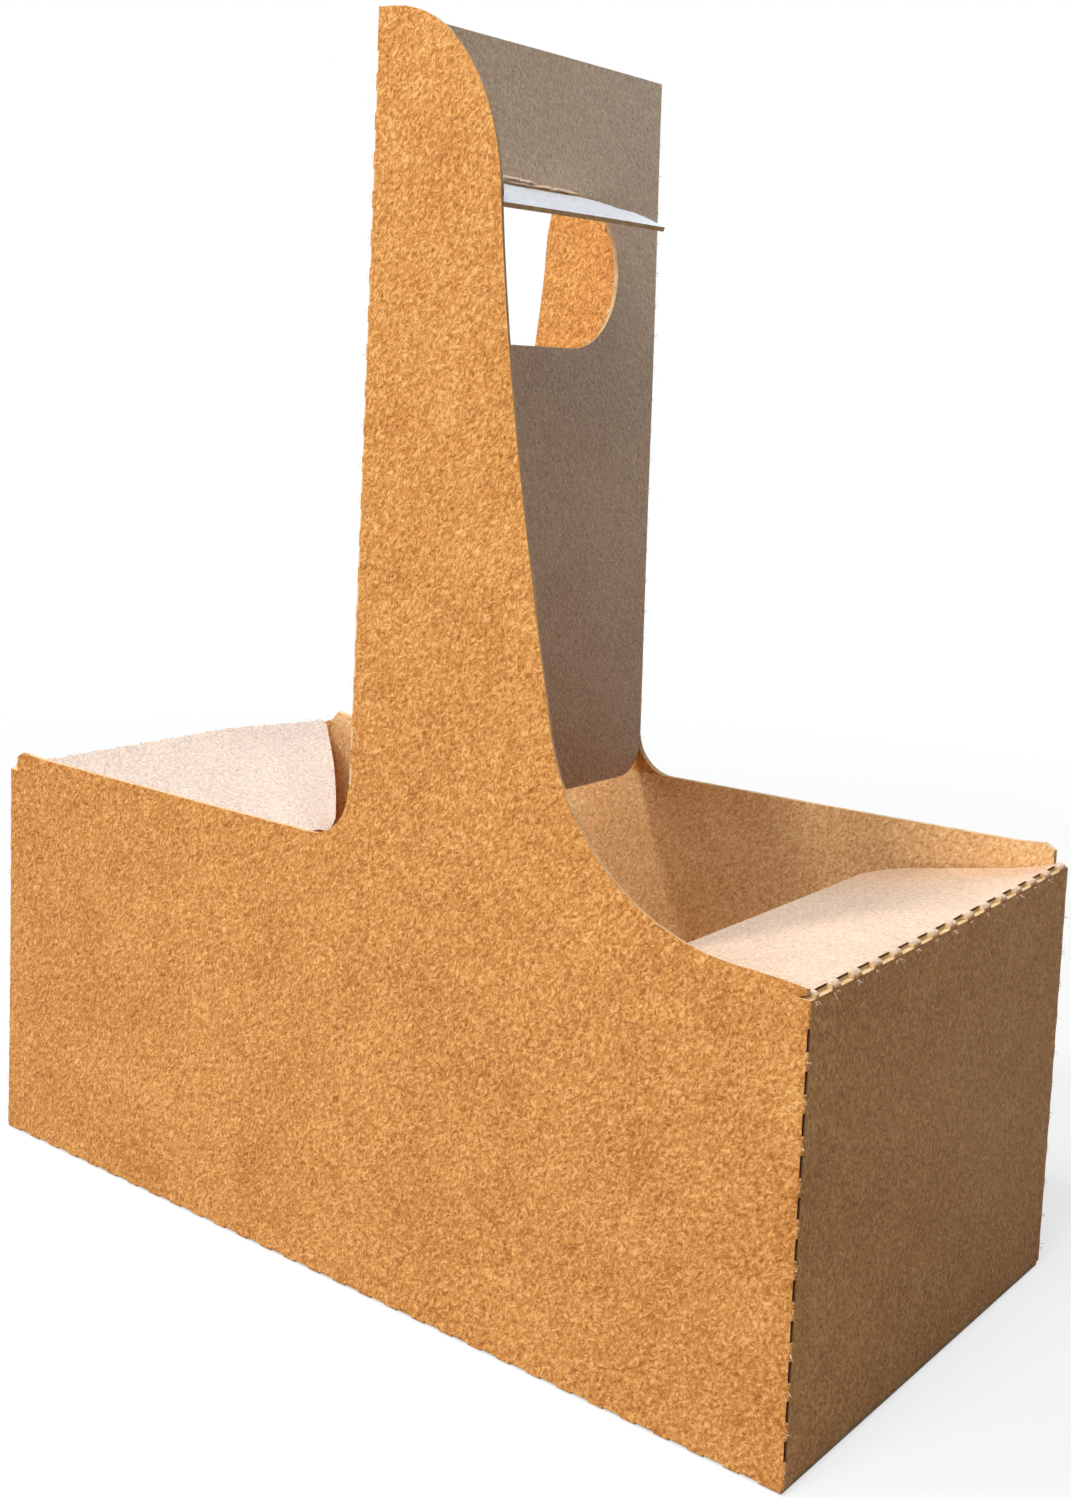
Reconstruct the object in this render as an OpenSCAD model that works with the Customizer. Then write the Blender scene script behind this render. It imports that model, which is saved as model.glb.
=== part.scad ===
// Two-cup carrier tray folded from one sheet of board, millimetres.
// Origin at the middle of the underside, X along the tray, Z up.
// The sheet has the same form again after half a turn about Z.

/* [Tray] */

// Length over the end walls
length = 190; // [150:1:240]
// Width over the long walls at the floor
depth = 93; // [75:1:130]
// Height of the end walls up to their top folds
end_height = 76.5; // [50:0.5:110]
// How far the long walls stand above the end folds
side_rise = 4.5; // [2:0.5:12]
// Thickness of the board
board = 0.9; // [0.7:0.05:1.5]
// Gap between a long wall's top strip and the corner fold
strip_gap = 2.4; // [1.5:0.1:5]

/* [Towers] */

// Height over all
total_height = 222.5; // [170:0.5:280]
// Inward lean of the towers above the tray
tower_lean = 1.8; // [0:0.1:3]
// Level part of a tower's top edge
crown_flat = 3; // [1:0.5:10]
// Width of a tower below its rounded crown
crown_width = 28.4; // [20:0.2:40]
// Drop of the rounded crown
crown_drop = 30.5; // [15:0.5:45]
// Width of a tower where its foot starts to flare
waist_width = 44.6; // [32:0.2:60]
// Height of the flared foot above the tray's rim
foot_rise = 25; // [10:0.5:40]
// Length over which the foot flares out to the rim
foot_reach = 37; // [15:0.5:48]
// Drop of the foot's end below the rim
foot_drop = 2.8; // [0:0.1:4]
// Radius where the low rim turns up into a tower
rim_radius = 9; // [4:0.5:15]

/* [Handle] */

// Width of the hand hole
hole_width = 56.6; // [45:0.2:70]
// Height of the hand hole
hole_height = 28.8; // [22:0.2:35]
// Board left above the hand hole
hole_top_margin = 24.9; // [12:0.1:40]
// Length of the hand flap, hinge to free edge
hand_flap_length = 14; // [8:0.2:20]
// How far the hand flap hangs below level
hand_flap_droop = 26; // [5:1:60]
// Radius of a handle panel's free lower corner
panel_radius = 7; // [3:0.5:15]
// Gap between a handle panel's free edge and the far fold
panel_gap = 1.5; // [1.2:0.1:4]

/* [End flaps] */

// Length of the right flap
right_length = 36; // [20:0.5:46]
// Length of the left flap
left_length = 40; // [20:0.5:46]
// How far the right flap hangs below level
right_droop = 10; // [5:1:40]
// How far the left flap hangs below level
left_droop = 20; // [5:1:40]
// Gap between an end flap and a long wall at the fold
flap_gap = 0.4; // [0.3:0.1:2]
// Narrowing of the right flap on each side
right_taper = 2.2; // [0:0.1:30]
// Radius of the right flap's free corners
right_radius = 8; // [2:0.5:18]
// Narrowing of the left flap on each side
left_taper = 29; // [0:0.5:30]
// Radius of the left flap's free corners
left_radius = 15; // [2:0.5:18]

/* [Floor] */

// Length of the inner floor flaps that come off the end walls
floor_flap = 62; // [30:1:72]
// Open seam between the two outer floor flaps
floor_seam = 0.6; // [0.4:0.1:2]
// Setback of the outer floor flaps from the end walls' faces
floor_setback = 0.5; // [0.3:0.1:1]

/* [Cut creases] */

// Spacing of the slits along every fold
pitch = 6.35; // [5:0.05:9]
// Length of a slit
slit = 3.6; // [2:0.05:4.5]
// Board left on the inside of a fold where it is slit
web = 0.25; // [0.2:0.05:0.4]
// Outer radius of a fold between its slits
fold_radius = 0.5; // [0.3:0.05:0.9]
// First slit of an end fold, from the corner
first_slit = 4.3; // [3:0.05:6]
// Highest slit of a tower's fold, below the top edge
tower_slit = 8.7; // [4:0.05:12]
// Highest slit of a corner fold, below the end fold
corner_slit = 6; // [3:0.05:9]
// Clearance around the moving folds
clear = 0.06; // [0.05:0.01:0.12]

/* [Hidden] */

eps = 0.5;
far = 400;
half_l = length / 2;
half_d = depth / 2;
rim = end_height + side_rise;
fold_z = rim + rim_radius;
lean_run = tan(tower_lean);
bridge = pitch - slit;
notch = board - web;
hole_r = hole_height / 2;
hole_mid = total_height - hole_top_margin - hole_r;
hole_top = hole_mid + hole_r;
hole_half_flat = hole_width / 2 - hole_r;
flap_half = half_d - board - flap_gap;
tower_rise = total_height - fold_z;
tower_slits = floor((tower_rise - tower_slit - slit / 2) / pitch) + 1;
corner_slits = floor((end_height - corner_slit - slit) / pitch) + 1;
end_slits = floor((depth - first_slit - slit / 2 - 2) / pitch) + 1;
floor_slits = floor((length - 2 * slit - 2) / pitch) + 1;
floor_end_slits = floor((depth - 2 * slit - 2) / pitch) + 1;
hinge_slits = max(2, floor(2 * hole_half_flat / pitch));
steps = 12;

// Piece to draw, "all" for every piece

function bezier(a, b, c, d, n) = [
    for (i = [1:n])
        let (t = i / n, s = 1 - t)
        s * s * s * a + 3 * s * s * t * b + 3 * s * t * t * c + t * t * t * d
];

function arc(cx, cy, r, a0, a1, n) = [
    for (i = [0:n])
        let (a = a0 + (a1 - a0) * i / n)
        [cx + r * cos(a), cy + r * sin(a)]
];

// Outline of a long wall with its tower, X along the wall, Y for height
module wall_outline() {
    crown = [crown_width, total_height - crown_drop];
    waist = [waist_width, rim + foot_rise];
    foot = [waist_width + foot_reach, rim - foot_drop];
    edge = half_l - strip_gap;
    polygon(concat(
        [[-edge, end_height - 5], [edge, end_height - 5], [edge, foot[1] - 1], [edge - 1, foot[1]]],
        [foot],
        bezier(
            foot,
            [waist_width + 0.42 * foot_reach, foot[1] + 0.6],
            [waist_width + 0.09 * foot_reach, rim + 0.52 * foot_rise],
            waist,
            steps
        ),
        bezier(
            waist,
            [crown[0] + 0.6 * (waist[0] - crown[0]), waist[1] + 0.31 * (crown[1] - waist[1])],
            [crown[0] + 0.17 * (waist[0] - crown[0]), waist[1] + 0.66 * (crown[1] - waist[1])],
            crown,
            steps
        ),
        bezier(
            crown,
            [crown[0] - 1, crown[1] + 0.5 * crown_drop],
            [crown_flat + 0.58 * (crown[0] - crown_flat), total_height],
            [crown_flat, total_height],
            steps
        ),
        [[0, total_height]],
        arc(-rim_radius, fold_z, rim_radius, 0, -90, steps),
        [[-edge + 2, rim], [-edge, rim - 1.5]]
    ));
}

// Front wall, standing, the part between two heights
module wall_band(z0, z1) {
    intersection() {
        translate([0, -half_d + board, 0])
            rotate([90, 0, 0])
                linear_extrude(height = board)
                    wall_outline();
        translate([-far, -far, z0])
            cube([2 * far, 2 * far, z1 - z0]);
    }
}

// Leans what stands above the rim of the front wall
module leaned() {
    translate([0, -half_d, rim])
        rotate([-tower_lean, 0, 0])
            translate([0, half_d, -rim])
                children();
}

// Outline of a handle panel, X across the tray, Y for height
module panel_outline() {
    top_run = (total_height - rim) * lean_run;
    fold_run = (fold_z - rim) * lean_run;
    free = half_d - panel_gap;
    polygon(concat(
        [[-half_d + top_run, total_height]],
        [[-half_d + fold_run, fold_z]],
        arc(-half_d + fold_run + rim_radius, fold_z, rim_radius, 180, 270, steps),
        arc(free - panel_radius, rim + panel_radius, panel_radius, 270, 360, steps),
        [[free - top_run, total_height]]
    ));
}

module panel() {
    rotate([90, 0, 90])
        linear_extrude(height = board)
            panel_outline();
}

// Rounds the outer corner of a tower's fold and opens its slits
module tower_fold_cuts() {
    leaned() {
        difference() {
            translate([-eps, -half_d - eps, fold_z])
                cube([fold_radius + eps, fold_radius + eps, tower_rise + 2]);
            translate([fold_radius, -half_d + fold_radius, fold_z - 1])
                cylinder(h = tower_rise + 4, r = fold_radius, $fn = 24);
        }
        for (i = [0:tower_slits - 1])
            translate([-eps, -half_d - eps, total_height - tower_slit - i * pitch - slit / 2])
                cube([notch + eps, notch + eps, slit]);
    }
}

// One long wall, its tower and the handle panel that comes off it
module half_sheet() {
    difference() {
        union() {
            wall_band(0, rim);
            leaned()
                wall_band(rim, total_height + 2);
            panel();
        }
        tower_fold_cuts();
        translate([-far, -far, total_height])
            cube([2 * far, 2 * far, far]);
    }
}

// Section of the standing box, seen from above
module box_section() {
    difference() {
        union() {
            square([length - 2 * fold_radius, depth], center = true);
            square([length, depth - 2 * fold_radius], center = true);
            for (x = [-1, 1])
                for (y = [-1, 1])
                    translate([x * (half_l - fold_radius), y * (half_d - fold_radius)])
                        circle(r = fold_radius, $fn = 24);
        }
        square([length - 2 * board, depth - 2 * board], center = true);
    }
}

// Inner floor flap that comes off the right end wall
module floor_flap_piece() {
    w = half_d - 0.5 * board;
    translate([half_l - board - floor_flap, 0, board])
        linear_extrude(height = board)
            polygon([
                [0, -w + 10], [0, w - 10], [10, w], [floor_flap + 0.2, w],
                [floor_flap + 0.2, -w], [10, -w]
            ]);
}

// Floor of the tray, outer flaps below and inner flaps on them
module floor_sheet() {
    difference() {
        translate([-half_l + board, -half_d + board, 0])
            cube([length - 2 * board, depth - 2 * board, board]);
        translate([-half_l, -floor_seam / 2, -1])
            cube([length, floor_seam, board + 1]);
    }
    floor_flap_piece();
    rotate([0, 0, 180])
        floor_flap_piece();
}

// Rounds and slits the fold along the foot of the front wall
module floor_fold_cuts() {
    x0 = -(floor_slits - 1) * pitch / 2;
    difference() {
        translate([-half_l - eps, -half_d - eps, -eps])
            cube([length + 2 * eps, fold_radius + eps, fold_radius + eps]);
        translate([-half_l - 1, -half_d + fold_radius, fold_radius])
            rotate([0, 90, 0])
                cylinder(h = length + 2, r = fold_radius, $fn = 24);
    }
    for (i = [0:floor_slits - 1])
        translate([x0 + i * pitch - slit / 2, -half_d - eps, -eps])
            cube([slit, notch + eps, notch + eps]);
}

// Rounds and slits the fold along the foot of the right end wall
module floor_end_cuts() {
    y0 = -(floor_end_slits - 1) * pitch / 2;
    translate([half_l - floor_setback, -half_d - eps, -eps])
        cube([floor_setback + eps, depth + 2 * eps, board + eps]);
    difference() {
        translate([half_l - fold_radius, -half_d - eps, board - 0.01])
            cube([fold_radius + eps, depth + 2 * eps, fold_radius + 0.01]);
        translate([half_l - fold_radius, -half_d - 1, board + fold_radius])
            rotate([-90, 0, 0])
                cylinder(h = depth + 2, r = fold_radius, $fn = 24);
    }
    for (i = [0:floor_end_slits - 1])
        translate([half_l - notch, y0 + i * pitch - slit / 2, board])
            cube([notch + eps, slit, notch]);
}

// Slits of the front right corner fold
module corner_cuts() {
    for (i = [0:corner_slits - 1])
        translate([half_l - notch, -half_d - eps, end_height - corner_slit - i * pitch - slit / 2])
            cube([notch + eps, notch + eps, slit]);
}

// Seats in the right end wall for the bridges of its flap
module end_fold_seats() {
    translate([half_l - board, 0, end_height])
        rotate([-90, 0, 0])
            for (i = [0:end_slits])
                let (
                    a = max(-half_d + first_slit + (i - 1) * pitch + slit / 2, -flap_half - clear),
                    b = min(-half_d + first_slit + i * pitch - slit / 2, flap_half + clear)
                )
                translate([0, 0, a])
                    cylinder(h = (i == end_slits ? flap_half + clear : b) - a, r = board + clear, $fn = 24);
}

// Hand hole through both handle panels
module hand_hole() {
    translate([-2 * board, 0, hole_mid])
        rotate([0, 90, 0]) {
            for (s = [-1, 1])
                translate([0, s * hole_half_flat, 0])
                    cylinder(h = 4 * board, r = hole_r, $fn = 96);
            translate([-hole_r, -hole_half_flat, 0])
                cube([hole_height, 2 * hole_half_flat, 4 * board]);
        }
}

// Seats and open slits above the hand flap's fold
module hand_fold_seats() {
    y0 = -(hinge_slits - 1) * pitch / 2;
    for (i = [0:hinge_slits])
        translate([board, y0 + (i - 0.5) * pitch - bridge / 2, hole_top])
            rotate([-90, 0, 0])
                cylinder(h = bridge, r = board + clear, $fn = 24);
    for (i = [0:hinge_slits - 1])
        translate([0, y0 + i * pitch - slit / 2, hole_top - eps])
            cube([board + eps, slit, eps + 0.5 * board]);
}

module carrier() {
    color([0.80, 0.58, 0.34])
    difference() {
        union() {
            linear_extrude(height = end_height)
                box_section();
            floor_sheet();
            half_sheet();
            rotate([0, 0, 180])
                half_sheet();
        }
        for (a = [0, 180])
            rotate([0, 0, a]) {
                floor_fold_cuts();
                floor_end_cuts();
                corner_cuts();
                mirror([1, 0, 0])
                    corner_cuts();
                end_fold_seats();
            }
        hand_hole();
        hand_fold_seats();
    }
}

// End flap, level, hinge line at the origin, running to -X
module flap_plate(long, taper, r) {
    w = flap_half;
    v = flap_half - taper;
    root = 2 * board;
    side = atan(taper / (long - root));
    inset = r * tan((90 - side) / 2);
    linear_extrude(height = board)
        polygon(concat(
            [[0, w], [-root, w]],
            arc(-long + r, v - inset, r, 90 + side, 180, steps),
            arc(-long + r, -v + inset, r, 180, 270 - side, steps),
            [[-root, -w], [0, -w]]
        ));
}

// Rounded bridges of an end flap's fold, without the quarter under the flap
module flap_bridges(droop) {
    difference() {
        rotate([-90, 0, 0])
            for (i = [0:end_slits])
                let (
                    a = max(-half_d + first_slit + (i - 1) * pitch + slit / 2 + clear, -flap_half),
                    b = i == end_slits
                        ? flap_half
                        : min(-half_d + first_slit + i * pitch - slit / 2 - clear, flap_half)
                )
                translate([0, 0, a])
                    cylinder(h = b - a, r = board, $fn = 24);
        translate([-2 * board, -half_d, -2 * board])
            cube([2 * board, depth, 2 * board]);
        rotate([0, -droop, 0])
            translate([-2 * board, -half_d, -2 * board])
                cube([2 * board, depth, 2 * board]);
    }
}

module end_flap(long, droop, taper, r) {
    color([0.84, 0.64, 0.42])
    translate([half_l - board, 0, end_height]) {
        rotate([0, -droop, 0])
            flap_plate(long, taper, r);
        flap_bridges(droop);
    }
}

// Hand flap, hanging, hinge line at the origin
module hand_flap_plate() {
    kerf = 0.25;
    intersection() {
        translate([-board, 0, -hole_r])
            rotate([0, 90, 0]) {
                for (s = [-1, 1])
                    translate([0, s * hole_half_flat, 0])
                        cylinder(h = board, r = hole_r - kerf, $fn = 96);
                translate([-hole_r, -hole_half_flat, 0])
                    cube([hole_height, 2 * hole_half_flat, board]);
            }
        translate([-far, -far, -hand_flap_length])
            cube([2 * far, 2 * far, hand_flap_length]);
    }
}

// Rounded bridges of the hand flap's fold
module hand_bridges() {
    y0 = -(hinge_slits - 1) * pitch / 2;
    difference() {
        for (i = [0:hinge_slits])
            translate([0, y0 + (i - 0.5) * pitch - bridge / 2 + clear, 0])
                rotate([-90, 0, 0])
                    cylinder(h = bridge - 2 * clear, r = board, $fn = 24);
        translate([0, -far, 0])
            cube([far, 2 * far, far]);
        rotate([0, hand_flap_droop, 0])
            translate([0, -far, 0])
                cube([far, 2 * far, far]);
    }
}

module hand_flap() {
    color([0.88, 0.80, 0.68])
    translate([board, 0, hole_top]) {
        rotate([0, hand_flap_droop - 90, 0])
            hand_flap_plate();
        hand_bridges();
    }
}

carrier();
end_flap(right_length, right_droop, right_taper, right_radius);  // end_flap_right
rotate([0, 0, 180])  // end_flap_left
        end_flap(left_length, left_droop, left_taper, left_radius);
hand_flap();
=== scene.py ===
import math
import random

import bmesh
import bpy
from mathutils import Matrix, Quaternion, Vector, noise


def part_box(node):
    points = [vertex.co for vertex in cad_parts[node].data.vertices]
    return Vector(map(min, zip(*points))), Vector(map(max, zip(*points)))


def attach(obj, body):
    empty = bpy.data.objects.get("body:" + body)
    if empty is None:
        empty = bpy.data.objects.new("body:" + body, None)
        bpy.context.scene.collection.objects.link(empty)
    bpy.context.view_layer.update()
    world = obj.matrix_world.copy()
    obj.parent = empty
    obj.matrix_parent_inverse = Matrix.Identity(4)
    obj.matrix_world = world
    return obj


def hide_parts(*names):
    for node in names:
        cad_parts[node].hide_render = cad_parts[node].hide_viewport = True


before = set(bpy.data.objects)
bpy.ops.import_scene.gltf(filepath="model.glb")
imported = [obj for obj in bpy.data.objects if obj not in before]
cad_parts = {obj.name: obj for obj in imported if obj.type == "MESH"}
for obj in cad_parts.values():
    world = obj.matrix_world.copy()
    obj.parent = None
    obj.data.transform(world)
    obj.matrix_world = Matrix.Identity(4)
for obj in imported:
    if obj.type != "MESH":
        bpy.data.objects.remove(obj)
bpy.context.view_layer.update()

MM = 0.001

# The tray's own sizes, as in the part's source
BOARD = 0.9 * MM
HALF_L = 95.0 * MM
HALF_D = 46.5 * MM
RIM = 81.0 * MM
END_FOLD = 76.5 * MM
TOP = 222.5 * MM
LEAN = math.radians(1.8)
HOLE_TOP = 197.6 * MM
HOLE_MID = 183.2 * MM
HOLE_R = 14.4 * MM
HOLE_FLAT = 13.9 * MM
PITCH = 6.35 * MM
FIRST_SLIT = 4.3 * MM
CORNER_SLIT = 6.0 * MM
TOWER_SLIT = 8.7 * MM
DROOP = {"end_flap_right": 10, "end_flap_left": 20, "hand_flap": 26}

# How far apart the faces are divided, and how close a face lies to a plane to count as on it
GRID_STEP = 5.0 * MM
ON_PLANE = 0.02 * MM
# Height of the pale lip that shows under the dark line of an end fold's slit; the dark line is painted shade
SLIT_LIP = 0.50 * MM

# Material slots of every board piece: board, cut edge, the slits' painted shade, the painted light of the
# inside and the flaps' upper faces, and the panel's painted light
BOARD_SLOT, CUT_SLOT, SLIT_SHADE_SLOT, PAINTED_LIGHT_SLOT, PANEL_PAINTED_LIGHT_SLOT = range(5)

# The photograph's frame in pixels, and what the camera fit gave for it
PHOTO_W, PHOTO_H = 1071.0, 1500.0
CENTRE_X, CENTRE_Y = 546.0, 613.6
FOCAL = 1802.6
SENSOR = 36.0
CAMERA_ROLL = math.radians(2.014)

# Lamps in watts, the world's plain fill, and the window-like patches that only glossy light sees
KEY, FRONT, OVERHEAD, TOPLIGHT = 9.0, 8.0, 15.0, 4.5
FILL = 0.02
SHEEN_BACK, SHEEN_RIGHT, SHEEN = 3.0, 2.8, 0.2

random.seed(7)
noise.seed_set(7)
bpy.context.scene.view_settings.view_transform = "Standard"


# Camera
def make_camera():
    """The photograph's camera: found from the tray's edges, with its roll and frame shift."""
    data = bpy.data.cameras.new("photo_camera")
    data.sensor_width = SENSOR
    data.lens = FOCAL / PHOTO_H * SENSOR
    data.shift_x = (0.5 * PHOTO_W - CENTRE_X) / PHOTO_H
    data.shift_y = (CENTRE_Y - 0.5 * PHOTO_H) / PHOTO_H
    data.clip_start = 0.01
    data.clip_end = 20.0
    cam = bpy.data.objects.new("photo_camera", data)
    cam.location = (0.216836, -0.2649, 0.165907)
    look = Vector((-0.61152, 0.77872, -0.14013))
    cam.rotation_mode = "QUATERNION"
    roll = Quaternion((0, 0, 1), CAMERA_ROLL)
    cam.rotation_quaternion = look.to_track_quat("-Z", "Y") @ roll
    bpy.context.scene.collection.objects.link(cam)
    bpy.context.scene.camera = cam


make_camera()


# Materials
class Tree:
    """Short names for building a node tree."""

    def __init__(self, material):
        self.t = material.node_tree
        self.t.nodes.clear()

    def add(self, kind, inputs=None, **props):
        node = self.t.nodes.new(kind)
        for key, value in props.items():
            setattr(node, key, value)
        for key, value in (inputs or {}).items():
            socket = node.inputs[key]
            if isinstance(value, bpy.types.NodeSocket):
                self.t.links.new(value, socket)
            else:
                socket.default_value = value
        return node

    def math(self, op, a, b, clamp=False):
        return self.add("ShaderNodeMath", {0: a, 1: b}, operation=op, use_clamp=clamp).outputs[0]

    def ramp(self, fac, stops):
        node = self.add("ShaderNodeValToRGB", {"Fac": fac})
        ramp = node.color_ramp
        while len(ramp.elements) < len(stops):
            ramp.elements.new(0.5)
        for element, (pos, colour) in zip(ramp.elements, stops):
            element.position = pos
            element.color = (*colour, 1.0)
        return node.outputs["Color"]

    def band(self, fac, low, high):
        """0 below low, 1 above high."""
        node = self.add("ShaderNodeMapRange", {"Value": fac, "From Min": low, "From Max": high})
        node.clamp = True
        return node.outputs["Result"]

    def mix(self, fac, a, b):
        node = self.add("ShaderNodeMix", data_type="RGBA")
        for socket, value in ((0, fac), (6, a), (7, b)):
            if isinstance(value, bpy.types.NodeSocket):
                self.t.links.new(value, node.inputs[socket])
            elif socket == 0:
                node.inputs[0].default_value = value
            else:
                node.inputs[socket].default_value = (*value, 1.0)
        return node.outputs[2]


def linear(r, g, b):
    """sRGB 0..255 to linear."""
    out = []
    for c in (r, g, b):
        c /= 255.0
        out.append(c / 12.92 if c <= 0.04045 else ((c + 0.055) / 1.055) ** 2.4)
    return tuple(out)


def kraft_material(name, tone, contrast, swing):
    """Unbleached kraft liner: short matted fibres, lighter and darker than its tone, with a few bark specks."""
    mid = linear(*tone)
    mat = bpy.data.materials.new(name)
    mat.use_nodes = True
    t = Tree(mat)
    at = t.add("ShaderNodeTexCoord").outputs["Object"]
    mm = t.add("ShaderNodeVectorMath", {0: at, 3: 1000.0}, operation="SCALE").outputs[0]

    warp = t.add("ShaderNodeTexNoise", {"Vector": mm, "Scale": 0.7, "Detail": 2.0})
    bend = t.add("ShaderNodeVectorMath", {0: warp.outputs["Color"], 3: 1.3}, operation="SCALE").outputs[0]
    bent = t.add("ShaderNodeVectorMath", {0: mm, 1: bend}, operation="ADD").outputs[0]

    def noise_at(vector, scale, detail, distortion=0.0):
        inputs = {
            "Vector": vector,
            "Scale": scale,
            "Detail": detail,
            "Roughness": 0.5,
            "Distortion": distortion,
        }
        return t.add("ShaderNodeTexNoise", inputs).outputs["Fac"]

    def strokes(turn, seed):
        """Fibres that lie along one direction: noise drawn out about three times as long as wide."""
        spin = t.add("ShaderNodeVectorRotate", {"Vector": bent, "Rotation": turn}, rotation_type="EULER_XYZ")
        turned = spin.outputs[0]
        long_way = (0.55, 1.9, 1.9)
        drawn = t.add("ShaderNodeVectorMath", {0: turned, 1: long_way}, operation="MULTIPLY").outputs[0]
        place = (seed, 2.3 * seed, 0.7 * seed)
        moved = t.add("ShaderNodeVectorMath", {0: drawn, 1: place}, operation="ADD").outputs[0]
        return noise_at(moved, 1.0, 1.0, 0.35)

    turns = [
        (0.3, 0.5, 0.4),
        (1.2, -0.4, 1.3),
        (-0.5, 0.9, -0.8),
        (0.8, -1.1, 0.3),
        (-1.0, 0.2, -0.5),
        (0.1, 1.3, 1.0),
    ]
    layers = [strokes(turn, 5.0 + 9.0 * i) for i, turn in enumerate(turns)]
    light = t.math("MAXIMUM", t.math("MAXIMUM", layers[0], layers[1]), layers[2])
    dark = t.math("MAXIMUM", t.math("MAXIMUM", layers[3], layers[4]), layers[5])
    light = t.band(light, 0.50, 0.78)
    dark = t.band(dark, 0.50, 0.78)
    cloud = noise_at(mm, 0.07, 2.0)
    matted = noise_at(bent, 1.7, 1.0, 0.8)
    total = t.math("MULTIPLY", t.math("SUBTRACT", cloud, 0.5), 0.35)
    total = t.math("ADD", total, t.math("MULTIPLY", t.math("SUBTRACT", matted, 0.5), 0.5 * contrast))
    total = t.math("ADD", total, t.math("MULTIPLY", light, 0.75 * contrast))
    total = t.math("SUBTRACT", total, t.math("MULTIPLY", dark, 0.65 * contrast))
    total = t.math("ADD", total, 0.48, clamp=True)

    low = linear(*(max(c - swing, 8) for c in tone))
    high = linear(*(min(c + swing, 250) for c in tone))
    colour = t.ramp(total, [(0.0, low), (0.47, mid), (1.0, high)])

    # Sparse specks of bark
    cells = t.add("ShaderNodeTexVoronoi", {"Vector": bent, "Scale": 0.13}, feature="F1")
    pick = t.add("ShaderNodeSeparateColor", {"Color": cells.outputs["Color"]}).outputs[0]
    size = t.math("MULTIPLY", t.band(pick, 0.80, 1.0), 0.05)
    near = t.math("LESS_THAN", cells.outputs["Distance"], size)
    colour = t.mix(t.math("MULTIPLY", near, 0.45), colour, linear(112, 74, 38))

    height = t.math("ADD", t.math("MULTIPLY", light, 0.5), t.math("MULTIPLY", matted, 0.6))
    height = t.math("SUBTRACT", height, t.math("MULTIPLY", dark, 0.4))
    bump = t.add("ShaderNodeBump", {"Height": height, "Strength": 0.6, "Distance": 0.00012}).outputs[0]
    shader = t.add(
        "ShaderNodeBsdfPrincipled",
        {
            "Base Color": colour,
            "Normal": bump,
            "Roughness": 0.5,
            "Specular IOR Level": 0.5,
        },
    )
    out = t.add("ShaderNodeOutputMaterial")
    t.t.links.new(shader.outputs[0], out.inputs["Surface"])
    mat.diffuse_color = (*mid, 1.0)
    return mat


def edge_material():
    """Cut edge of the board: paler, with fine layers and torn fibres."""
    mat = bpy.data.materials.new("kraft_cut_edge")
    mat.use_nodes = True
    t = Tree(mat)
    at = t.add("ShaderNodeTexCoord").outputs["Object"]
    mm = t.add("ShaderNodeVectorMath", {0: at, 3: 1000.0}, operation="SCALE").outputs[0]
    grain = t.add("ShaderNodeTexNoise", {"Vector": mm, "Scale": 5.0, "Detail": 4.0, "Roughness": 0.7})
    patch = t.add("ShaderNodeTexNoise", {"Vector": mm, "Scale": 0.6, "Detail": 2.0})
    fine = t.math("MULTIPLY", grain.outputs["Fac"], 0.6)
    total = t.math("ADD", fine, t.math("MULTIPLY", patch.outputs["Fac"], 0.4))
    colour = t.ramp(
        total,
        [(0.30, linear(196, 150, 98)), (0.50, linear(232, 196, 146)), (0.68, linear(248, 228, 192))],
    )
    bump = t.add("ShaderNodeBump", {"Height": total, "Strength": 0.8, "Distance": 0.0001}).outputs[0]
    shader = t.add(
        "ShaderNodeBsdfPrincipled",
        {"Base Color": colour, "Normal": bump, "Roughness": 0.92, "Specular IOR Level": 0.2},
    )
    out = t.add("ShaderNodeOutputMaterial")
    t.t.links.new(shader.outputs[0], out.inputs["Surface"])
    return mat


def slit_shade_material():
    """Painted shade for the far side of a slit: a dark board colour where the slit's own shadow falls."""
    mat = bpy.data.materials.new("slit_painted_shade")
    mat.use_nodes = True
    shader = mat.node_tree.nodes["Principled BSDF"]
    shader.inputs["Base Color"].default_value = (*linear(118, 84, 58), 1.0)
    shader.inputs["Roughness"].default_value = 0.95
    shader.inputs["Specular IOR Level"].default_value = 0.1
    return mat


def fibre_material():
    """Torn paper fibres, pale and matt."""
    mat = bpy.data.materials.new("torn_fibre")
    mat.use_nodes = True
    shader = mat.node_tree.nodes["Principled BSDF"]
    shader.inputs["Base Color"].default_value = (*linear(250, 222, 196), 1.0)
    shader.inputs["Roughness"].default_value = 0.9
    return mat


FIBRE = fibre_material()
KRAFT = kraft_material("kraft_board", (210, 139, 62), contrast=0.8, swing=52)
# Paler tone for the tray's inside below its rim: painted light.
INSIDE_PAINTED_LIGHT = kraft_material("kraft_inside_painted_light", (232, 181, 124), contrast=0.8, swing=40)
# Paler, greyer tone for the handle panel: painted light and sheen.
PANEL_PAINTED_LIGHT = kraft_material("kraft_panel_painted_light", (228, 188, 152), contrast=0.8, swing=36)
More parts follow.
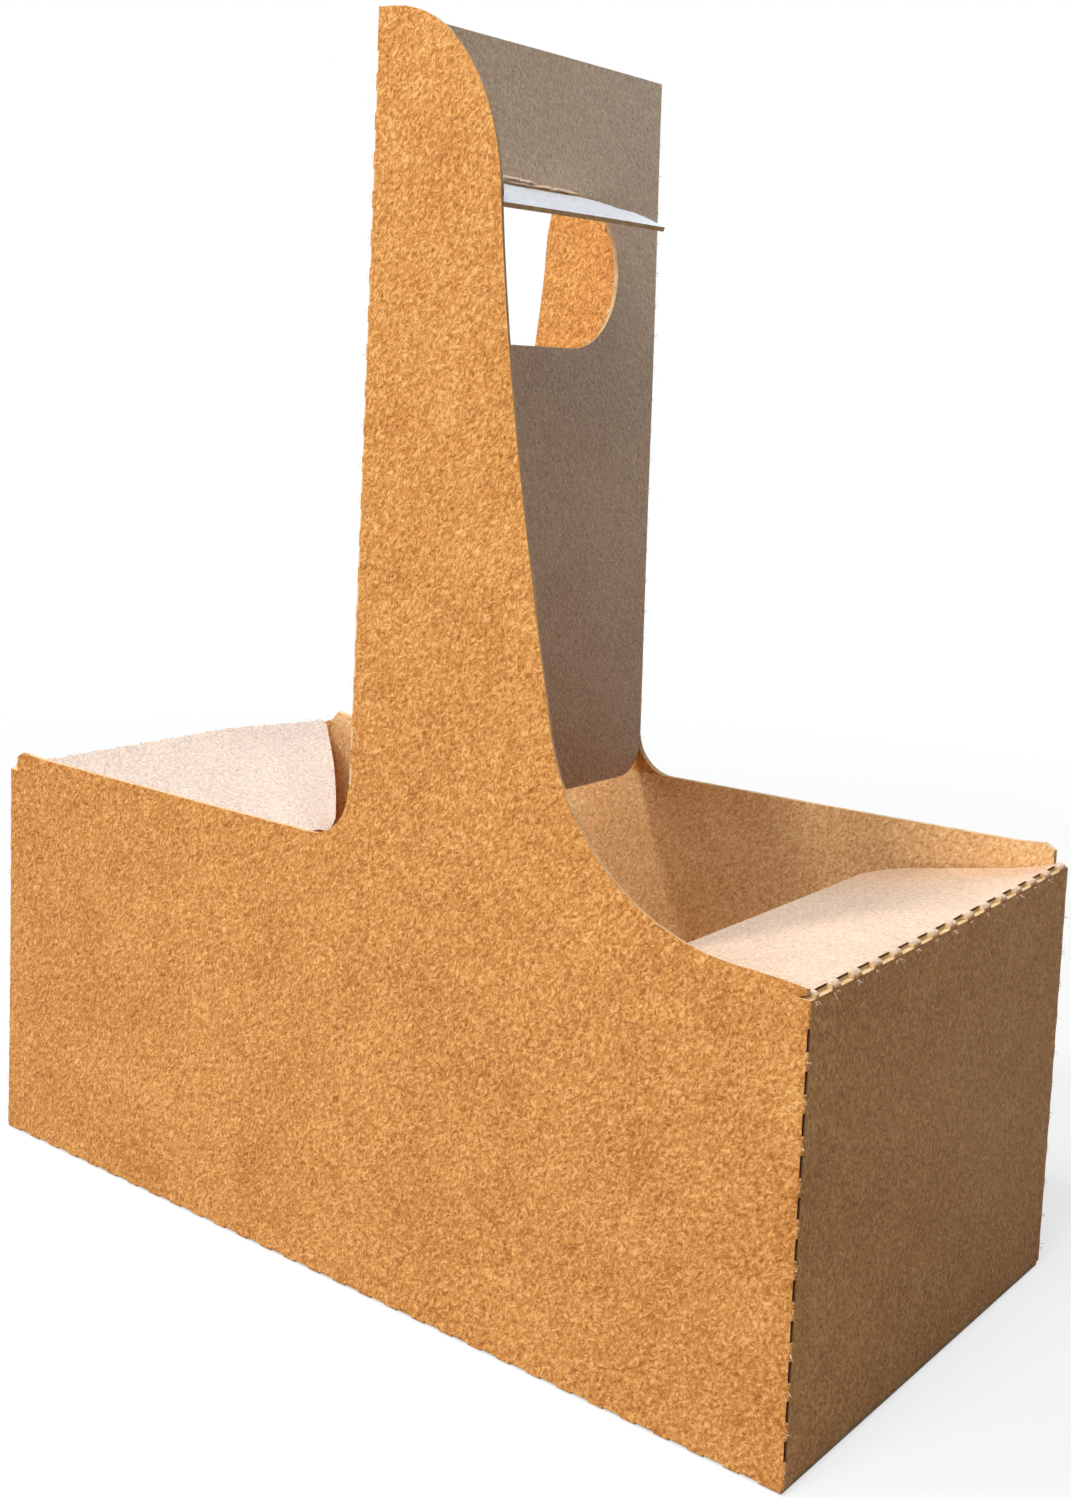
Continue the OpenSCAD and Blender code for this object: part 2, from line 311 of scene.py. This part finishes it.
# The flaps' upper faces take pale tones as painted light and sheen: the left flap paler than the right, the
# hand flap near white.
RIGHT_FLAP_PAINTED_LIGHT = kraft_material("kraft_right_flap_painted_light", (216, 178, 144), contrast=0.8, swing=30)
LEFT_FLAP_PAINTED_LIGHT = kraft_material("kraft_left_flap_painted_light", (220, 200, 184), contrast=0.8, swing=30)
HAND_FLAP_PAINTED_LIGHT = kraft_material("kraft_hand_flap_painted_light", (238, 240, 244), contrast=0.8, swing=20)
EDGE = edge_material()
# Dark colour for the far sides of slits: painted shade.
SLIT_SHADE = slit_shade_material()


# The folded board
def drape(p):
    """How the made-up tray departs from flat panels, in mm, fitted to the photograph with the camera.

    u and v run from -1 to 1 along and across the tray, low from 0 to 1 up to the rim, high above it.
    The top edges tilt and lift at the ends, the foot splays, the long walls pull in, all panels wave.
    """
    x, y, z = p
    u, v = x / HALF_L, y / HALF_D
    low = max(0.0, min(1.0, z / RIM))
    high = max(0.0, (z - RIM) / (TOP - RIM))
    dz = low * (-0.81 + 0.68 * u - 0.68 * v + 0.87 * u * v + 0.20 * u * u - 0.68 * u * u * v)
    end = max(0.0, min(1.0, (abs(x) / MM - 87.0) / 8.0))
    end = end * end * (3.0 - 2.0 * end)
    dz += low * end * (0.32 + 0.87 * v if x > 0.0 else 0.92 - 0.12 * v)
    dz += low * 3.6 * max(0.0, -u) ** 2 * max(0.0, 0.5 + 0.5 * v)
    dx = u * (0.82 * (1.0 - low) - 0.17 * low) + 0.71 * low + (0.70 - 0.50 * v) * high
    pull = 2.26 * low**1.1 if z < RIM else 2.26 - 2.11 * high
    dy = 0.21 * low - v * pull * (1.0 - u * u)
    wave = noise.noise_vector(Vector(p) / (62.0 * MM) + Vector((3.1, 7.7, 1.9)))
    wave *= 0.25 * min(1.0, max(0.0, z / (20.0 * MM)))
    return Vector(p) + Vector((dx, dy, dz)) * MM + wave * MM


def cut_grid(bm, axis, low, high, step):
    """Cuts every face along evenly spaced planes, so that the panels can bend."""
    normal = Vector((0, 0, 0))
    normal[axis] = 1.0
    count = int((high - low) / step)
    for i in range(1, count):
        point = normal * (low + (high - low) * i / count)
        geom = bm.verts[:] + bm.edges[:] + bm.faces[:]
        bmesh.ops.bisect_plane(bm, geom=geom, dist=1e-7, plane_co=point, plane_no=normal)


def on_level(value, levels):
    return any(abs(abs(value) - level) < ON_PLANE for level in levels)


def is_cut_face(face):
    """True for the cut through the carrier's board, false for its faces and its rounded folds."""
    n = face.normal
    c = face.calc_center_median()
    lean = max(0.0, c.z - RIM) * math.tan(LEAN)
    if abs(n.y) > 0.99:
        depth = (HALF_D - lean - abs(c.y)) * math.cos(LEAN if c.z > RIM else 0.0)
        return not on_level(depth, (0.0, BOARD))
    if abs(n.x) > 0.99:
        return not on_level(c.x, (HALF_L, HALF_L - BOARD, BOARD, 0.0))
    if abs(n.z) > 0.99:
        return not on_level(c.z, (0.0, BOARD, 2 * BOARD))
    fold = abs(n.x) > 0.05 and abs(n.y) > 0.05
    foot = c.z < 2 * BOARD and n.z < -0.05
    return not (fold or foot)


def is_flap_face(face, droop):
    """True for a flap's two broad faces and for the round outside of its fold's bridges."""
    n = face.normal
    c = face.calc_center_median()
    if abs(n.y) > 0.02:
        return False
    if abs(abs(n.z) - math.cos(droop)) < 0.003:
        return True
    out = Vector((abs(c.x) - (HALF_L - BOARD), 0.0, c.z - END_FOLD))
    way = Vector((abs(n.x) if c.x * n.x > 0.0 else -abs(n.x), 0.0, n.z))
    return 0.80 * MM < out.length < 0.93 * MM and out.normalized().dot(way) > 0.95


def is_seat_face(face):
    """The hollow under a bridge of an end fold, of which only a hair line shows. Its faces take the darker
    board colour instead of the pale cut colour, as painted shade.
    """
    c = face.calc_center_median()
    return abs(abs(c.x) - HALF_L) < 1.2 * MM and abs(c.z - END_FOLD) < 1.0 * MM and abs(face.normal.z) < 0.99


def is_inside_face(face):
    """The tray's inner side below its rim, which takes a paler tone as painted light."""
    n = face.normal
    c = face.calc_center_median()
    if c.z > RIM + 1.0 * MM:
        return False
    wall = abs(n.y) > 0.99 and c.y * n.y < 0.0
    end = abs(n.x) > 0.99 and c.x * n.x < 0.0 and abs(c.x) > 0.5 * HALF_L
    return wall or end or n.z > 0.99


def is_slit_shade_face(face, node):
    """The far side of a slit, which lies in the board's own shadow; it takes the painted shade."""
    n = face.normal
    c = face.calc_center_median()
    near_end = HALF_L - 1.2 * MM < abs(c.x) < HALF_L - ON_PLANE
    near_wall = HALF_D - 1.2 * MM < abs(c.y) < HALF_D - ON_PLANE
    if node != "carrier":
        root = near_end and abs(n.x) > 0.7 and c.x * n.x > 0.0
        return root and SLIT_LIP < c.z - END_FOLD < 1.0 * MM
    return near_end and near_wall and c.z < END_FOLD and abs(n.y) > 0.9


def close_slits(node, p):
    """A pressed corner fold: the lips of each slit are drawn together, which leaves a narrow opening."""
    if node != "carrier" or not 3.0 * MM < p.z < END_FOLD:
        return Vector(p)
    side = 1.0 if p.x > 0.0 else -1.0
    back = 1.0 if p.y > 0.0 else -1.0
    x, y = abs(p.x) - HALF_L, abs(p.y) - HALF_D
    if abs(x + 0.65 * MM) < ON_PLANE and abs(y) < ON_PLANE:
        return Vector((p.x + side * 0.30 * MM, p.y - back * 0.05 * MM, p.z))
    if abs(y + 0.65 * MM) < ON_PLANE and abs(x) < ON_PLANE:
        return Vector((p.x - side * 0.05 * MM, p.y + back * 0.22 * MM, p.z))
    return Vector(p)


def smooth(value, low, high):
    """0 below low, 1 above high, with a soft start and end."""
    t = max(0.0, min(1.0, (value - low) / (high - low)))
    return t * t * (3.0 - 2.0 * t)


def fit_hand_flap(p):
    """The hand flap reaches less far than its solid, and its underside thins out toward its free edge."""
    out = Vector((p.x - BOARD, 0.0, p.z - HOLE_TOP))
    if out.length < 1.2 * MM:
        return p
    droop = math.radians(DROOP["hand_flap"])
    forward = Vector((math.cos(droop), 0.0, -math.sin(droop)))
    upward = Vector((math.sin(droop), 0.0, math.cos(droop)))
    along = out.dot(forward)
    ring = math.hypot(max(0.0, abs(p.y) - HOLE_FLAT), along)
    lift = 0.5 * MM if ring > 13.3 * MM and out.dot(upward) < 0.2 * MM else 0.0
    return p + forward * (1.1 * lift - 0.18 * along) + upward * lift


def fit_left_flap(p):
    """The left flap's back edge stands in from the wall and sags."""
    s = max(0.0, min(1.0, (p.x + HALF_L) / (38.0 * MM)))
    half = (45.2 - 29.0 * s) * MM
    back = smooth(p.y / half, 0.2, 1.0)
    inset = 3.2 - 1.2 * math.sin(math.pi * s) + 3.0 * s * s
    return p + Vector((0.0, -inset, -1.6)) * MM * back


def fit_carrier(p):
    """The left end wall's top sags at the back, and the strip beside the front right corner reaches it."""
    if p.x < -93.4 * MM:
        back = smooth(p.y, 18.0 * MM, 45.0 * MM)
        return p + Vector((0.0, 0.0, -1.6)) * MM * back * smooth(p.z, 45.0 * MM, 75.0 * MM)
    if p.x > 91.0 * MM and p.y < -45.0 * MM and p.z > END_FOLD + 0.1 * MM:
        return Vector((94.3 * MM, p.y, p.z))
    return p


def fit_corners(node, p):
    """Small shifts of single nodes that the photograph shows, before the drape."""
    if node == "hand_flap":
        return fit_hand_flap(p)
    if node == "end_flap_left":
        return fit_left_flap(p)
    if node == "carrier":
        return fit_carrier(p)
    return p


def is_wall_inside(face, vert):
    return abs(face.normal.y) > 0.99 and vert.co.y * face.normal.y < 0.0


def worn_arris(vert):
    """How far a cut edge's inner arris is drawn back, or None. It stays short of the next points."""
    inner = [f for f in vert.link_faces if is_wall_inside(f, vert)]
    cut = [f.normal for f in vert.link_faces if f.material_index == CUT_SLOT and abs(f.normal.y) < 0.2]
    way = sum(cut, Vector())
    if not inner or vert.co.z <= END_FOLD + 0.5 * MM or way.length <= 0.1:
        return None
    back = -way.normalized()
    depth = min(max((v.co - vert.co).dot(back) for v in f.verts) for f in inner)
    return back * min(0.28 * MM, 0.4 * depth)


def far_arris(vert):
    """How far the hand hole's edge is opened on the side away from the camera, or None."""
    y = max(0.0, abs(vert.co.y) - HOLE_FLAT)
    z = vert.co.z - HOLE_MID
    on_ring = abs(math.hypot(y, z) - HOLE_R) < 0.15 * MM
    if abs(vert.co.x + BOARD) >= ON_PLANE or not on_ring or vert.co.z >= HOLE_TOP - 1.0 * MM:
        return None
    return Vector((0.0, math.copysign(y, vert.co.y), z)).normalized() * 1.2 * MM


def wear_edges(bm):
    """Draws back the inner arris of the walls' and towers' cut edges and the far arris of the hand hole."""
    moves = {}
    for vert in bm.verts:
        move = far_arris(vert) or worn_arris(vert)
        if move:
            moves[vert] = move
    for vert, move in moves.items():
        vert.co += move


def is_panel_face(face):
    """The handle panels' broad faces, which take a paler, greyer tone as painted light and sheen."""
    c = face.calc_center_median()
    return abs(face.normal.x) > 0.99 and abs(c.x) < 2 * BOARD and c.z > RIM


def divide(bm, node):
    """Joins the node's triangles into flat faces and cuts these along a grid, and along the slits' lips."""
    bmesh.ops.remove_doubles(bm, verts=bm.verts, dist=1e-6)
    bmesh.ops.dissolve_limit(
        bm, angle_limit=math.radians(0.3), verts=bm.verts, edges=bm.edges, delimit={"NORMAL"}
    )
    box_lo, box_hi = (Vector(v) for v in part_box(node))
    for axis in range(3):
        if box_hi[axis] - box_lo[axis] > 2 * GRID_STEP:
            cut_grid(bm, axis, box_lo[axis], box_hi[axis], GRID_STEP)
    if node.startswith("end_flap"):
        geom = bm.verts[:] + bm.edges[:] + bm.faces[:]
        level = Vector((0.0, 0.0, END_FOLD + SLIT_LIP))
        bmesh.ops.bisect_plane(bm, geom=geom, dist=1e-7, plane_co=level, plane_no=(0.0, 0.0, 1.0))


def slot_of(face, node):
    """The material slot that a face takes."""
    if node == "carrier":
        cut = is_cut_face(face)
    else:
        cut = not is_flap_face(face, math.radians(DROOP[node]))
    # The far sides of slits take painted shade.
    if cut and is_slit_shade_face(face, node):
        return SLIT_SHADE_SLOT
    if cut:
        # A cut face in the hollow under an end fold's bridge takes the darker board colour as painted shade.
        return BOARD_SLOT if node == "carrier" and is_seat_face(face) else CUT_SLOT
    if node != "carrier":
        # A flap's upper face takes its pale tone as painted light and sheen; its underside keeps the board
        # colour.
        return PAINTED_LIGHT_SLOT if face.normal.z > 0.5 else BOARD_SLOT
    # The tray's inside takes a paler tone as painted light.
    if is_inside_face(face):
        return PAINTED_LIGHT_SLOT
    # The handle panel takes a paler, greyer tone as painted light.
    return PANEL_PAINTED_LIGHT_SLOT if is_panel_face(face) else BOARD_SLOT


def board_piece(node, body, painted_light_material):
    """The node's own solid with its faces divided, sorted into board faces and cut faces, and draped."""
    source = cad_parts[node]
    mesh = bpy.data.meshes.new("board_" + node)
    bm = bmesh.new()
    bm.from_mesh(source.data)
    divide(bm, node)
    bm.normal_update()
    for face in bm.faces:
        face.material_index = slot_of(face, node)
        face.smooth = True
    for edge in bm.edges:
        if len(edge.link_faces) == 2:
            a, b = edge.link_faces
            edge.smooth = a.material_index == b.material_index and edge.calc_face_angle(0.0) < 0.5
    if node == "carrier":
        wear_edges(bm)
    for vert in bm.verts:
        vert.co = drape(fit_corners(node, close_slits(node, vert.co)))
    bm.normal_update()
    bm.to_mesh(mesh)
    bm.free()
    for material in (KRAFT, EDGE, SLIT_SHADE, painted_light_material, PANEL_PAINTED_LIGHT):
        mesh.materials.append(material)
    piece = bpy.data.objects.new("board_" + node, mesh)
    bpy.context.scene.collection.objects.link(piece)
    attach(piece, body)
    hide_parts(node)


def fibre(bm, root, way, length, sag, radius=0.06 * MM):
    """One loose fibre: a thin three-sided tube along a bent line."""
    side = way.orthogonal().normalized()
    other = way.cross(side).normalized()
    rings = []
    for i in range(6):
        s = i / 5.0
        p = root + way * length * s + sag * length * s * s
        r = radius * (1.0 - 0.6 * s)
        ring = []
        for k in range(3):
            a = 2.0 * math.pi * k / 3.0
            ring.append(bm.verts.new(drape(p + side * r * math.cos(a) + other * r * math.sin(a))))
        rings.append(ring)
    for low, high in zip(rings, rings[1:]):
        for k in range(3):
            m = (k + 1) % 3
            bm.faces.new((low[k], low[m], high[m], high[k]))


def tuft(bm, root, out, count, longest):
    """A few torn fibres at a bridge of a fold, all roughly along out."""
    for _ in range(count):
        spread = Vector([random.uniform(-0.8, 0.8) for _ in range(3)])
        sag = Vector([random.uniform(-0.5, 0.5) for _ in range(3)])
        jump = Vector([random.uniform(-0.7, 0.7) * MM * (abs(out[i]) < 0.3) for i in range(3)])
        fibre(bm, root + jump, (out + spread).normalized(), random.uniform(0.35, 1.0) * longest, sag)


def torn_lip(bm, start, end, z):
    """A ragged lip of torn paper standing off the handle panel, its face turned a little upward."""
    count = 24
    last = None
    for i in range(count + 1):
        y = start + (end - start) * i / count
        fade = min(1.0, i / 3.0, (count - i) / 3.0)
        out = (0.45 + random.uniform(-0.15, 0.15)) * MM * fade
        low = z + random.uniform(-0.12, 0.12) * MM
        high = low + (0.10 + 0.35 * fade) * MM
        sunk = BOARD - 0.02 * MM
        points = ((sunk, y, high), (BOARD + out, y, low), (sunk, y, low - 0.05 * MM))
        row = [bm.verts.new(drape(Vector(p))) for p in points]
        if last:
            for k in range(2):
                bm.faces.new((last[k], last[k + 1], row[k + 1], row[k]))
        last = row


def end_fold_tufts(bm):
    """Fibres at the bridges between the slits of both end folds."""
    for i in range(14):
        y = -HALF_D + FIRST_SLIT + (i - 0.5) * PITCH
        for side in (-1.0, 1.0):
            root = Vector((side * HALF_L, side * y, END_FOLD - 0.4 * MM))
            tuft(bm, root, Vector((side * 0.5, 0, -0.6)), 5, 0.9 * MM)


def corner_tufts(bm):
    """Fibres at the bridges of the four corner folds."""
    for i in range(11):
        z = END_FOLD - CORNER_SLIT - (i + 0.5) * PITCH
        for x in (-1.0, 1.0):
            for y in (-1.0, 1.0):
                root = Vector((x * (HALF_L - 0.1 * MM), y * (HALF_D - 0.1 * MM), z))
                tuft(bm, root, Vector((x, y, 0)) * 0.7, 3, 0.8 * MM)


def tower_tufts(bm):
    """Fibres at the bridges of the two tower folds."""
    for i in range(20):
        z = TOP - TOWER_SLIT - (i + 0.5) * PITCH
        lean = (z - RIM) * math.tan(LEAN)
        if z > RIM + 9.0 * MM:
            for side in (-1.0, 1.0):
                root = Vector((0.0, side * (HALF_D - lean), z))
                tuft(bm, root, Vector((0.6 * side, 0.4 * side, 0)), 3, 0.7 * MM)


def torn_fibres():
    """Loose fibres at the bridges of the folds, and the torn lip above the hand flap."""
    bm = bmesh.new()
    end_fold_tufts(bm)
    corner_tufts(bm)
    tower_tufts(bm)
    torn_lip(bm, -17.0 * MM, 1.0 * MM, HOLE_TOP + 1.0 * MM)
    torn_lip(bm, -9.0 * MM, 14.5 * MM, HOLE_TOP + 0.4 * MM)
    hair = Vector((HALF_L + 0.1 * MM, 15.0 * MM, END_FOLD - 2.5 * MM))
    along_fold = Vector((0.12, 0.97, -0.05)).normalized()
    fibre(bm, hair, along_fold, 5.5 * MM, Vector((0, 0, -0.45)), 0.11 * MM)
    mesh = bpy.data.meshes.new("torn_fibres")
    bm.to_mesh(mesh)
    bm.free()
    mesh.materials.append(FIBRE)
    piece = bpy.data.objects.new("torn_fibres", mesh)
    bpy.context.scene.collection.objects.link(piece)
    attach(piece, "tray")


# The carrier's inside and the flaps' upper faces take their paler tones as painted light.
board_piece("carrier", "tray", INSIDE_PAINTED_LIGHT)
board_piece("end_flap_right", "right_flap", RIGHT_FLAP_PAINTED_LIGHT)
board_piece("end_flap_left", "left_flap", LEFT_FLAP_PAINTED_LIGHT)
board_piece("hand_flap", "handle_flap", HAND_FLAP_PAINTED_LIGHT)
torn_fibres()


# Floor and light
def make_floor():
    """A plain pale floor: white to the camera but for a soft shadow, darker for the light it gives back."""
    mesh = bpy.data.meshes.new("floor")
    bm = bmesh.new()
    bmesh.ops.create_grid(bm, x_segments=1, y_segments=1, size=6.0)
    bm.to_mesh(mesh)
    bm.free()
    floor = bpy.data.objects.new("floor", mesh)
    floor.location.z = -0.0002
    bpy.context.scene.collection.objects.link(floor)
    mat = bpy.data.materials.new("pale_floor")
    mat.use_nodes = True
    t = Tree(mat)
    at = t.add("ShaderNodeTexCoord").outputs["Object"]
    away = t.add("ShaderNodeVectorMath", {0: at}, operation="LENGTH").outputs["Value"]
    glow = t.math("ADD", t.math("MULTIPLY", t.band(away, 0.14, 0.50), 0.30), 0.70)
    seen = t.add("ShaderNodeLightPath").outputs["Is Camera Ray"]
    tone = t.mix(seen, (0.42, 0.42, 0.42), (0.88, 0.88, 0.88))
    shade = t.add("ShaderNodeBsdfDiffuse", {"Color": tone})
    bright = t.add("ShaderNodeEmission", {"Color": (1.0, 1.0, 1.0, 1.0), "Strength": 1.0})
    lit = t.math("MULTIPLY", glow, seen)
    both = t.add("ShaderNodeMixShader", {0: lit, 1: shade.outputs[0], 2: bright.outputs[0]})
    out = t.add("ShaderNodeOutputMaterial")
    t.t.links.new(both.outputs[0], out.inputs["Surface"])
    mesh.materials.append(mat)


def make_world():
    """White to the camera, a weak fill to the board, and two bright patches that only glossy light sees."""
    world = bpy.data.worlds.new("studio")
    bpy.context.scene.world = world
    world.use_nodes = True
    t = Tree(world)
    path = t.add("ShaderNodeLightPath")
    seen = t.math("MAXIMUM", path.outputs["Is Camera Ray"], path.outputs["Is Transmission Ray"])
    fill = t.add("ShaderNodeBackground", {"Color": (0.72, 0.80, 1.0, 1.0), "Strength": FILL})
    white = t.add("ShaderNodeBackground", {"Color": (1.0, 1.0, 1.0, 1.0), "Strength": 1.0})
    way = t.add("ShaderNodeTexCoord").outputs["Generated"]

    def lobe(direction, strength):
        dot = t.add("ShaderNodeVectorMath", {0: way, 1: direction}, operation="DOT_PRODUCT")
        return t.math("MULTIPLY", t.band(dot.outputs["Value"], 0.55, 0.92), strength)

    level = t.math("ADD", lobe((-0.61, 0.78, 0.14), SHEEN_BACK), lobe((0.62, 0.77, 0.10), SHEEN_RIGHT))
    level = t.math("ADD", level, SHEEN)
    sheen = t.add("ShaderNodeBackground", {"Color": (0.80, 0.92, 1.0, 1.0), "Strength": level})
    glossy = path.outputs["Is Glossy Ray"]
    light = t.add("ShaderNodeMixShader", {0: glossy, 1: fill.outputs[0], 2: sheen.outputs[0]})
    both = t.add("ShaderNodeMixShader", {0: seen, 1: light.outputs[0], 2: white.outputs[0]})
    out = t.add("ShaderNodeOutputWorld")
    t.t.links.new(both.outputs[0], out.inputs["Surface"])


def lamp(name, location, target, size, power, colour):
    """A soft round lamp that looks at its target."""
    data = bpy.data.lights.new(name, "AREA")
    data.shape = "DISK"
    data.size = size
    data.energy = power
    data.color = colour
    obj = bpy.data.objects.new(name, data)
    obj.location = location
    aim = Vector(target) - Vector(location)
    obj.rotation_mode = "QUATERNION"
    obj.rotation_quaternion = aim.to_track_quat("-Z", "Y")
    bpy.context.scene.collection.objects.link(obj)


make_floor()
make_world()
lamp("key", (-0.48, -0.54, 1.30), (0, 0, 0.10), 0.16, KEY, (1.0, 0.97, 0.93))
lamp("front", (-0.55, -1.5, 0.55), (0, 0, 0.09), 0.9, FRONT, (1.0, 0.96, 0.90))
lamp("overhead", (0.10, -0.75, 1.3), (0, 0, 0.10), 0.6, OVERHEAD, (0.92, 0.96, 1.0))
lamp("top", (0.20, -0.10, 1.5), (0, 0, 0.10), 0.5, TOPLIGHT, (0.92, 0.96, 1.0))
